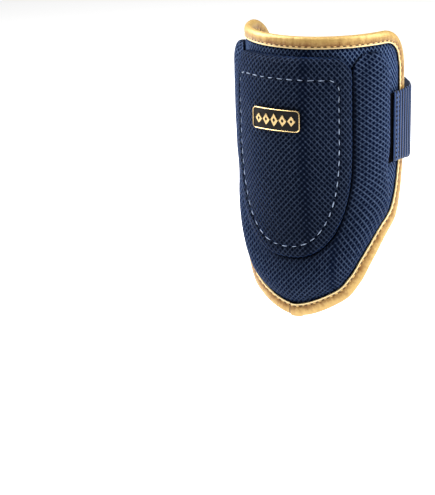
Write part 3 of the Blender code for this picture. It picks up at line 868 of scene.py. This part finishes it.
class GuardShellOperator(bpy.types.Operator):
    """Build the mesh cloth body, with its lining on the arm's side."""

    bl_idname = "guard.shell"
    bl_label = "Shell"

    def execute(self, context):
        edge = mirrored(spaced(shell_half(), 150))
        body = inset(edge, 0.001 + FOLD_GAP)
        corner = inset(body, 0.0008)
        widths = [TAPE_WIDTH * tape_share(p) for p in edge]
        beside = [(inset(edge, [width + run for width in widths]), high) for run, high in SHELL_SINK]
        rim, band = beside[0][0], beside[-1][0]
        middle = middle_line(rim, SHELL_HALF_WIDTH)
        fills = [toward(rim, middle, share) for share in SHELL_FILLS]
        lowest = SHELL_SINK[-1][1]
        inside = PRESSED - SHELL_THICKNESS
        levels = [(flat, 0.0) for flat in reversed(fills)] + beside
        levels += [(corner, lowest), (body, -PRESSED - 0.0009)]
        outer_rows = len(levels)
        levels += [(body, inside + 0.0008), (corner, inside), (band, inside)]
        levels += [(flat, -SHELL_THICKNESS) for flat in (rim, *fills)]
        slots = [0 if k < outer_rows else 1 for k in range(len(levels))]
        bm = bmesh.new()
        add_levels(bm, levels, shut_pairs, slots)
        cloth = context.scene.guard_cloth
        # Painted light: the shell's copy of the mesh is tinted lighter than the others
        mesh_cloth = air_mesh("air_mesh_shell", (1.42, 1.40, 1.36), cloth.hole_pitch, 0.0, cloth.chevron_u)
        piece = finish_piece("shell_cloth", bm, [mesh_cloth, knit_lining("tricot_lining")])
        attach(piece, "root")
        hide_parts("shell")
        return {"FINISHED"}


class GuardTapeOperator(bpy.types.Operator):
    """Build the folded gold tape round the edge, and its two rows of stitches."""

    bl_idname = "guard.tape"
    bl_label = "Gold tape"

    def execute(self, context):
        trim = context.scene.guard_trim
        edge = mirrored(spaced(shell_half(), 330))
        positions = run_lengths(edge)
        length = positions[-1] + (edge[0] - edge[-1]).length
        # The lap's open end lies left of the tip, so it is found on the left half
        laps = []
        for position in positions:
            past = position - length / 2 - trim.tape_lap
            laps.append(TAPE_LAP_RISE * smooth(-past / 0.0005) * smooth((past + TAPE_LAP) / 0.004))
        shares = [tape_share(p) for p in edge]
        rows = []
        insets = []
        for side in (1, -1):
            for inward, high in TAPE_ROWS if side == 1 else TAPE_ROWS[::-1]:
                puff = max(0.0, 1.0 - abs(inward - 4.5) / 4.5)
                drawn = max(1.0 - inward / 3.0, 0.0)
                flat = inset(edge, [inward * MM * share - lap * drawn for share, lap in zip(shares, laps)])
                lifts = []
                for position, lap in zip(positions, laps):
                    angle = position / length * 2 * math.pi
                    turn = Vector((math.cos(angle), math.sin(angle), 0.0))
                    crease = 0.0
                    for around, across, tall in TAPE_CREASES:
                        spot = turn * around + Vector((0.0, 0.0, inward * across + side * 5.0))
                        crease += noise.noise(spot) * tall
                    raised = (high + crease * puff) * MM + (lap if inward < 10.55 or high > 0 else 0.0)
                    lifts.append(raised if side == 1 else -SHELL_THICKNESS - raised)
                rows.append(laid(flat, lifts))
                insets.append(inward)
        for inward, high in TAPE_INSIDE:
            rows.append(laid(inset(edge, inward * MM), high * MM))
            insets.append(inward)
        along = [position - length / 2 for position in positions]
        flats = [[Vector((u, inward * MM)) for u in along] for inward in insets]
        piece = one_body("tape", rows, flats, None, [gold_tape_material("gold_polyurethane_tape")])
        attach(piece, "root")
        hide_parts("edge_binding")
        seam = inset(edge, [SEAM_INSET * share for share in shares])
        front = [0.30 * MM + lap for lap in laps]
        back = [-SHELL_THICKNESS - high for high in front]
        lines = [(surface_line(seam, front), True), (surface_line(seam, back), True)]
        sizes = (trim.tape_stitch_pitch, trim.tape_stitch_length, trim.tape_stitch_width, STITCH_HEIGHT)
        row = stitch_row("tape_stitches", lines, sizes, thread_material("gold_thread", "#c7a261", 0.3))
        return {"FINISHED"}


def part_below(line, level):
    """The stretch of a line, drawn from the top down, that lies below a level."""
    stretch = []
    for p in reversed(line):
        if p.y > level:
            break
        stretch.append(p)
    return stretch[::-1]


def pad_stations(stations):
    """(inner point, outer point, height share, fullness share) down the right side of the pad."""
    shell_line = spaced(shell_half(), 400)
    flap_line = spaced(flap_half(0.0, 0.0, 0.0, FLAP_CORNER), 400)
    loop = mirrored(shell_line)
    flange = []
    for p in loop:
        share = smooth((p.y - FLANGE_GONE) / (FLANGE_FULL - FLANGE_GONE))
        flange.append(mix(TAPE_WIDTH + PAD_EDGE_GAP, PAD_FLANGE, share))
    outer = inset(loop, flange)[: len(shell_line)]
    inner = inset(mirrored(flap_line), -PAD_EDGE_GAP)[: len(flap_line)]
    level = SHELL_TOP + TOP_RISE - TAPE_WIDTH - PAD_TOP_GAP - PAD_WIDTH / 2
    inner = spaced(part_below(inner, level), stations)
    outer = spaced(part_below(outer, level), stations)
    middle = (inner[0] + outer[0]) / 2
    half = (outer[0] - inner[0]) / 2
    found = []
    for turn in PAD_FINGER_TURNS:
        angle = math.radians(turn)
        centre = middle + Vector((0.0, half.length * math.cos(angle)))
        reach = half * math.sin(angle)
        found.append((centre - reach, centre + reach, math.sin(angle) ** PAD_FINGER_ROUND, 0.0))
    for k, (a, b) in enumerate(zip(inner, outer)):
        down = k / stations
        fuller = smooth((down - PAD_FULLER_FROM) / (1.0 - PAD_FULLER_FROM))
        thinner = smooth((down - PAD_THINNER_FROM) / (PAD_THINNER_TO - PAD_THINNER_FROM))
        found.append((a, b, mix(1.0, PAD_THINNER_SHARE, thinner), fuller))
    return found


class GuardPadOperator(bpy.types.Operator):
    """Build the U-shaped side pad, with its cloth swelled by the foam."""

    bl_idname = "guard.pad"
    bl_label = "Side pad"

    def execute(self, context):
        right = pad_stations(84)
        left = []
        for inner, outer, *shares in right[-2::-1]:
            left.append((Vector((-inner.x, inner.y)), Vector((-outer.x, outer.y)), *shares))
        foot = SEAT_GAP * 1.5
        rows = []
        flats = []
        for inner, outer, tall, fuller in right + left:
            row = []
            outer = inner.lerp(outer, mix(PAD_DRAWN_IN, PAD_DRAWN_IN_TIP, fuller))
            for across, height in PAD_ROWS:
                share = height + fuller * PAD_FULLER_BY * (1.0 - across) ** 2 * min(height * 4.0, 1.0)
                row.append(wrap(*inner.lerp(outer, across), foot + (PAD_THICKNESS - foot) * share * tall))
            # The cloth keeps its true length across the pad, measured from the crown both ways
            direction = (outer - inner).normalized()
            place = [inner.lerp(outer, PAD_ROWS[PAD_CROWN][0])]
            for k in range(PAD_CROWN + 1, len(row)):
                place.append(place[-1] + direction * (row[k] - row[k - 1]).length)
            for k in range(PAD_CROWN - 1, -1, -1):
                place.insert(0, place[0] - direction * (row[k] - row[k + 1]).length)
            for across in (1.0, 0.75, 0.5, 0.25, 0.0):
                flat = inner.lerp(outer, across)
                row.append(wrap(*flat, SEAT_GAP))
                place.append(flat)
            # The pad's mesh is drawn out across at its sides and lies as cut at the tip
            for p in place:
                tip = smooth((PAD_DRAWN_FROM - p.y) / PAD_DRAWN_RUN)
                p.x *= mix(1.0, PAD_TIP_ACROSS, tip)
                p.y = PAD_DRAWN_FROM + (p.y - PAD_DRAWN_FROM) * mix(1.0, PAD_TIP_DOWN, tip)
            rows.append(row)
            flats.append(place)
        cloth = context.scene.guard_cloth
        # Painted light: the pad's copy of the mesh is tinted lighter than the flap's
        painted_light_tint = (1.17, 1.14, 1.12)
        mesh_cloth = air_mesh("air_mesh_pad", painted_light_tint, cloth.pad_hole_pitch, 0.68, cloth.pad_chevron_u)
        piece = one_body("pad_cloth", rows, flats, shut_fan, [mesh_cloth])
        sewn = len(PAD_ROWS)
        around = len(rows[0])
        held = []
        for index in range(len(piece.data.vertices)):
            k = index % around
            held.append(1.0 if k < 2 or k >= sewn - 2 or index >= len(rows) * around else 0.0)
        swell(piece, held, cloth.swell * 0.6)
        smoother(piece)
        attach(piece, "root")
        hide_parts("side_pad")
        return {"FINISHED"}


class GuardFlapOperator(bpy.types.Operator):
    """Build the stitched front flap: a puffy rim, the dip of its seam and a full middle."""

    bl_idname = "guard.flap"
    bl_label = "Front flap"

    def execute(self, context):
        cloth = context.scene.guard_cloth
        edge = mirrored(spaced(flap_half(0.0, 0.0, 0.0, FLAP_CORNER), 96))
        seam_half = flap_half(STITCH_INSET_SIDE, STITCH_INSET_TOP, STITCH_INSET_SIDE, FLAP_CORNER / 2)
        seam = mirrored(spaced(seam_half, 96))
        base_middle = middle_line(edge, FLAP_HALF_WIDTH)
        seam_middle = middle_line(seam, FLAP_HALF_WIDTH)
        pucker = [0.80 + 0.20 * math.cos(2 * math.pi * run / cloth.stitch_pitch) for run in run_lengths(seam)]
        rim_height = FLAP_THICKNESS * RIM_ROWS[-1][1]
        levels = [(toward(edge, base_middle, share), SEAT_GAP) for share in FLAP_BACK]
        levels.append((edge, SEAT_GAP))
        for across, height in RIM_ROWS:
            levels.append((toward(edge, seam, across), FLAP_THICKNESS * height))
        for offset in SEAM_OFFSETS:
            depth = STITCH_DIP * math.exp(-((offset / SEAM_SOFTNESS) ** 2))
            lifts = [rim_height - depth * share for share in pucker]
            other = edge if offset < 0 else seam_middle
            flat = [s + (o - s).normalized() * abs(offset) * MM for s, o in zip(seam, other)]
            levels.append((flat, lifts))
        start = levels[-1][0]
        for share in FLAP_FILLS:
            flat = toward(start, seam_middle, share)
            levels.append((flat, mix(rim_height, FLAP_THICKNESS, smooth(share * 1.5))))
        rows = [laid(flat, lift) for flat, lift in levels]
        flats = [list(flat) for flat, _ in levels]
        # The cloth of the rim keeps its true length, measured from its last row out
        base_row = len(FLAP_BACK)
        for k in range(base_row + len(RIM_ROWS) - 1, base_row - 1, -1):
            for i in range(len(edge)):
                away = (edge[i] - seam[i]).normalized()
                flats[k][i] = flats[k + 1][i] + away * (rows[k][i] - rows[k + 1][i]).length
        # Painted shade: the flap's copy of the mesh is tinted darker than the shell's and the pad's
        mesh_cloth = air_mesh("air_mesh_flap", (0.84, 0.82, 0.81), cloth.hole_pitch, 0.42, cloth.chevron_u)
        piece = one_body("flap_cloth", rows, flats, shut_pairs, [mesh_cloth])
        count = len(edge)
        seam_row = base_row + 1 + len(RIM_ROWS) + SEAM_OFFSETS.index(0.0)
        held = []
        half_width = BADGE_WIDTH / 2 + BADGE_PRESSES
        half_height = BADGE_HEIGHT / 2 + BADGE_PRESSES
        centre = FLAP_TOP - BADGE_DROP
        for index in range(len(piece.data.vertices)):
            row = index // count
            flat = levels[row][0][index % count]
            under = abs(flat.x) < half_width and abs(flat.y - centre) < half_height and row > seam_row
            held.append(1.0 if row <= base_row + 1 or abs(row - seam_row) <= 1 or under else 0.0)
        swell(piece, held, cloth.swell)
        smoother(piece)
        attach(piece, "root")
        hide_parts("front_flap")
        line = surface_line(seam, rim_height - STITCH_DIP + 0.00035)
        sizes = (cloth.stitch_pitch, cloth.stitch_length, cloth.stitch_width, STITCH_HEIGHT)
        thread = thread_material("blue_grey_thread", "#8d9cb6", 0.3)
        row = stitch_row("flap_stitches", [(line, True)], sizes, thread)
        return {"FINISHED"}


def on_flap(loop):
    """A loop drawn round the badge's middle at true size, moved to its flat place on the flap."""
    narrower = FRONT_RADIUS / (FRONT_RADIUS + FLAP_THICKNESS)
    level = FLAP_TOP - BADGE_DROP
    return [Vector(((p.x - BADGE_LEFT) * narrower, p.y + level)) for p in loop]


def badge_outline(step):
    """The badge's outline, clockwise from its top middle, or a line set in from it by step."""
    width, height = BADGE_WIDTH - 2 * step, BADGE_HEIGHT - 2 * step
    radius = max(BADGE_CORNER - step, 0.0008)
    side, up = width / 2 - radius, height / 2 - radius
    loop = [Vector((side * share, height / 2)) for share in (0.0, 0.25, 0.5, 0.75)]
    loop += arc((side, up), radius, math.pi / 2, 0.0, 6)
    loop += arc((side, -up), radius, 0.0, -math.pi / 2, 6)
    loop += [Vector((side * share, -height / 2)) for share in (0.75, 0.5, 0.25, 0.0)]
    return on_flap(mirrored(loop))


def lozenge_outline(width, height, centre_u):
    """Four-pointed outline on the badge, clockwise from its top."""
    points = ((0.0, height / 2), (width / 2, 0.0), (0.0, -height / 2), (-width / 2, 0.0))
    corners = [Vector((u + centre_u, z)) for u, z in points]
    loop = []
    for a, b in zip(corners, corners[1:] + corners[:1]):
        loop += [a.lerp(b, share) for share in (0.0, 0.12, 0.5, 0.88)]
    return on_flap(loop)


def raised_shape(bm, loop, low, high, bevel, slot):
    """A flat-topped shape on the badge with bevelled edges."""
    centre = sum(loop, Vector((0.0, 0.0))) / len(loop)
    top = [p + (centre - p).normalized() * bevel for p in loop]
    inner = toward(top, [centre] * len(loop), 0.6)
    add_levels(bm, [(loop, low), (loop, high - bevel), (top, high), (inner, high)], shut_fan, [slot] * 4)


class GuardBadgeOperator(bpy.types.Operator):
    """Build the plain badge: a plated rim round a row of five lozenges, on dark enamel."""

    bl_idname = "guard.badge"
    bl_label = "Badge"

    def execute(self, context):
        low = FLAP_THICKNESS + BADGE_GAP
        face = low + BADGE_THICKNESS
        rim, bevel = BADGE_RIM, BADGE_BEVEL
        ring = (
            (0.0, low),
            (0.0, face),
            (bevel, face + bevel),
            (rim - bevel, face + bevel),
            (rim, face),
            (rim, face - 0.0005),
            (rim, low),
        )
        bm = bmesh.new()
        add_levels(bm, [(badge_outline(step), lift) for step, lift in ring])
        field = badge_outline(rim + 0.00005)
        middle = [m + Vector((field[0].x, 0.0)) for m in middle_line(field, BADGE_HEIGHT * 0.3)]
        bottom = low + 0.0001
        floor = face - ENAMEL_DROP
        levels = [(toward(field, middle, share), bottom) for share in (0.94, 0.6, 0.3)]
        levels += [(field, bottom), (field, floor)]
        levels += [(toward(field, middle, share), floor) for share in (0.15, 0.4, 0.7, 0.94)]
        add_levels(bm, levels, shut_pairs, [1] * len(levels))
        top = face + LOZENGE_RISE
        for place in (-2, -1, 0, 1, 2):
            centre_u = place * LOZENGE_PITCH
            tall = LOZENGE_HEIGHT - LOZENGE_LOWER * abs(place)
            raised_shape(bm, lozenge_outline(LOZENGE_WIDTH, tall, centre_u), floor - 0.0001, top, 0.0003, 0)
            inner = lozenge_outline(LOZENGE_WIDTH * 0.375, tall * 0.36, centre_u)
            raised_shape(bm, inner, top - 0.0001, top + 0.0002, 0.0002, 1)
        looks = [plated_metal("gold_plated_zinc", "#b39a6c"), dark_enamel("dark_enamel")]
        piece = finish_piece("badge_plate", bm, looks, 35)
        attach(piece, "root")
        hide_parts("badge")
        return {"FINISHED"}


def wing_path(start, end, lift, steps):
    """Inner points and outward directions of a band laid along a wing, seen from above."""
    path = []
    for step in range(steps + 1):
        x, y, turn = section(mix(start, end, step / steps))
        away = Vector((math.sin(turn), -math.cos(turn)))
        path.append((Vector((x, y)) + away * lift, away))
    return path


def strap_path():
    """The strap's inner line: over the right wing, round behind the arm, inside the left wing."""
    over = TAPE_PROUD + PATCH_THICKNESS + 2 * GAP
    under = -SHELL_THICKNESS - TAPE_PROUD - GAP - STRAP_THICKNESS
    edge = SHELL_HALF_WIDTH
    right = wing_path(edge - STRAP_OVERLAP, edge, over, 20)
    left = wing_path(-edge, STRAP_SEWN - edge, under, 20)
    x, y, turn = section(edge)
    centre = Vector((0.0, y + x * math.cos(turn) / math.sin(turn)))
    start = right[-1][0] - centre
    end = left[0][0] - centre
    angle_start = math.atan2(start.y, start.x)
    angle_end = math.atan2(end.y, end.x)
    behind = []
    for step in range(1, 120):
        share = step / 120
        angle = mix(angle_start, angle_end, share)
        away = Vector((math.cos(angle), math.sin(angle)))
        tuck = STRAP_TUCK * smooth(min(share, 1.0 - share) / 0.16)
        radius = mix(start.length, end.length, smooth(share)) - tuck
        behind.append((centre + away * radius, away))
    return right + behind + left


def evened_path(path, step):
    """The same path at equal steps, as (distance, point, direction)."""
    lengths = run_lengths([point for point, _ in path])
    found = []
    for distance, k, share in equal_steps(lengths, round(lengths[-1] / step)):
        point, away = (a.lerp(b, share) for a, b in zip(path[k], path[k + 1]))
        found.append((distance, point, away.normalized()))
    return found


class GuardPatchOperator(bpy.types.Operator):
    """Build the black hook tape under the strap's end."""

    bl_idname = "guard.patch"
    bl_label = "Hook patch"

    def execute(self, context):
        strap_end = SHELL_HALF_WIDTH - STRAP_OVERLAP
        path = wing_path(strap_end - PATCH_SHOWING, strap_end + PATCH_UNDER_STRAP, TAPE_PROUD + GAP, 40)
        half = STRAP_WIDTH / 2
        levels = [mix(-half, half, (k + 0.5) / 60) for k in range(60)]
        levels = [-half, 0.0002 - half, *levels, half - 0.0002, half]
        rows = []
        flats = []
        for k, (point, away) in enumerate(path):
            end = 0.6 if k in (0, len(path) - 1) else 1.0
            row = []
            flat = []
            for n, z in enumerate(levels):
                rib = HOOK_ROUGHNESS * math.sin(z / 0.0006) * math.sin(k * 1.3)
                high = PATCH_THICKNESS * end * (0.6 if n in (0, len(levels) - 1) else 0.86) + rib * end
                row.append(Vector((*(point + away * high), z)))
                flat.append(Vector((k * PATCH_STEP, z)))
            for z in (half, -half):
                row.append(Vector((*point, z)))
                flat.append(Vector((k * PATCH_STEP, z)))
            rows.append(row)
            flats.append(flat)
        piece = one_body("hook_tape", rows, flats, shut_fan, [hook_material("nylon_hook_tape")], 50)
        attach(piece, "root")
        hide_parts("hook_patch")
        return {"FINISHED"}


class GuardStrapOperator(bpy.types.Operator):
    """Build the ribbed elastic strap and the stitches at its two ends."""

    bl_idname = "guard.strap"
    bl_label = "Elastic strap"

    def execute(self, context):
        trim = context.scene.guard_trim
        path = evened_path(strap_path(), STRAP_STEP)
        length = path[-1][0]
        half = STRAP_WIDTH / 2
        rows = []
        flats = []
        for distance, point, away in path:
            from_end = min(distance, length - distance)
            rib = 0.5 + 0.5 * math.cos(2 * math.pi * distance / trim.rib_pitch)
            ease = smooth(distance / STRAP_EASES[0]) * smooth((length - distance) / STRAP_EASES[1])
            row = []
            flat = []
            for face, order in ((1, STRAP_SHARES), (-1, STRAP_SHARES[::-1])):
                for share in order:
                    edge = smooth((1.0 - abs(share)) / 0.06)
                    fullness = mix(0.35, 1.0, edge) * mix(0.5, 1.0, smooth(from_end / 0.0008))
                    body = STRAP_THICKNESS / 2 * fullness - trim.rib_height * (1.0 - rib) * edge
                    level = STRAP_RAISED + half * share - STRAP_RELAXED * ease * max(-share, 0.0)
                    row.append(Vector((*(point + away * (STRAP_THICKNESS / 2 + face * body)), level)))
                    flat.append(Vector((distance, half * share)))
            rows.append(row)
            flats.append(flat)
        looks = [elastic_material("ribbed_elastic"), knit_lining("elastic_backing")]
        piece = one_body("elastic_strap", rows, flats, shut_fan, looks)
        outer = len(STRAP_SHARES)
        for index in range((len(rows) - 1) * 2 * outer):
            piece.data.polygons[index].material_index = 1 if index % (2 * outer) >= outer else 0
        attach(piece, "root")
        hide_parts("strap")
        # Two seams across the outer end, and two across the sewn end, seen from the arm's side
        lines = []
        for from_end, reach, side in STRAP_SEAMS:
            distance = from_end if side == 1 else length - from_end
            _, point, away = min(path, key=lambda entry: abs(entry[0] - distance))
            place = point + away * STRAP_THICKNESS if side == 1 else point
            heights = [mix(-reach, reach, k / 40) * half for k in range(41)]
            lines.append(([(Vector((*place, high)), (*(away * side), 0.0)) for high in heights], False))
        thread = thread_material("pale_blue_thread", "#4c618a", 0.2)
        row = stitch_row("strap_stitches", lines, STRAP_STITCH, thread)
        return {"FINISHED"}


def bearing(turn, rise):
    """Direction from the guard toward a light or the camera."""
    return Vector((math.sin(turn) * math.cos(rise), -math.cos(turn) * math.cos(rise), math.sin(rise)))


class GuardStageOperator(bpy.types.Operator):
    """Build the floor, the soft studio lights and the camera."""

    bl_idname = "guard.stage"
    bl_label = "Stage"

    def execute(self, context):
        scene = context.scene
        stage = scene.guard_stage
        bm = bmesh.new()
        level = SHELL_TIP - stage.floor_drop
        corners = ((-1, -1), (1, -1), (1, 1), (-1, 1))
        bm.faces.new([bm.verts.new((x * FLOOR_REACH, y * FLOOR_REACH, level)) for x, y in corners])
        white = linear("#ffffff")
        made, _, _ = new_material(
            "pale_floor",
            Base_Color=linear("#fbfbfb"),
            Roughness=0.9,
            Emission_Color=white,
            Emission_Strength=FLOOR_GLOW,
        )
        floor = finish_piece("studio_floor", bm, [made])
        for name, (turn, rise, distance, wide, tall, power) in LIGHTS.items():
            light = bpy.data.lights.new(name, "AREA")
            light.shape = "RECTANGLE"
            light.size = wide
            light.size_y = tall
            light.energy = power
            lamp = bpy.data.objects.new(name, light)
            back = bearing(math.radians(turn), math.radians(rise))
            lamp.location = back * distance
            lamp.rotation_euler = (-back).to_track_quat("-Z", "Y").to_euler()
            scene.collection.objects.link(lamp)
        world = bpy.data.worlds.new("studio")
        world.use_nodes = True
        fill(world.node_tree.nodes["Background"], Color=white, Strength=WORLD_LIGHT)
        scene.world = world
        camera = bpy.data.cameras.new("photo_view")
        camera.lens = CAMERA_LENS
        camera.sensor_width = 36.0
        camera.clip_start = 0.1
        camera.clip_end = 50.0
        eye = bpy.data.objects.new("photo_view", camera)
        eye.location = bearing(stage.camera_turn, stage.camera_rise) * stage.camera_distance
        eye.rotation_euler = camera_aim()
        scene.collection.objects.link(eye)
        scene.camera = eye
        scene.view_settings.view_transform = "Standard"
        return {"FINISHED"}


def camera_aim():
    """Where the photograph looks, a little past the guard, as the camera's turn."""
    turn, rise, roll = map(math.radians, CAMERA_LOOK)
    back = bearing(turn, rise)
    level = (-back).to_track_quat("-Z", "Y").to_matrix()
    return (level @ Euler((0.0, 0.0, roll)).to_matrix()).to_euler()


class GuardPanel(bpy.types.Panel):
    """The guard's pieces and sizes, in the 3D view's sidebar."""

    bl_idname = "VIEW3D_PT_elbow_guard"
    bl_label = "Elbow guard"
    bl_space_type = "VIEW_3D"
    bl_region_type = "UI"
    bl_category = "Elbow guard"

    def draw(self, context):
        column = self.layout.column()
        for operator in OPERATORS:
            column.operator(operator.bl_idname)
        for name, settings in SETTINGS.items():
            box = self.layout.box()
            for key in settings.__annotations__:
                box.prop(getattr(context.scene, name), key)


SETTINGS = {
    "guard_cloth": GuardClothSettings,
    "guard_trim": GuardTrimSettings,
    "guard_stage": GuardStageSettings,
}
OPERATORS = (
    GuardShellOperator,
    GuardTapeOperator,
    GuardPadOperator,
    GuardFlapOperator,
    GuardBadgeOperator,
    GuardPatchOperator,
    GuardStrapOperator,
    GuardStageOperator,
)


def register():
    for made in (*SETTINGS.values(), *OPERATORS, GuardPanel):
        bpy.utils.register_class(made)
    for name, settings in SETTINGS.items():
        setattr(bpy.types.Scene, name, bpy.props.PointerProperty(type=settings))


def unregister():
    for name in SETTINGS:
        delattr(bpy.types.Scene, name)
    for made in (GuardPanel, *OPERATORS[::-1], *list(SETTINGS.values())[::-1]):
        bpy.utils.unregister_class(made)


def main():
    register()
    for step in ("shell", "tape", "pad", "flap", "badge", "patch", "strap", "stage"):
        getattr(bpy.ops.guard, step)()
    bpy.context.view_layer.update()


if __name__ == "__main__":
    main()
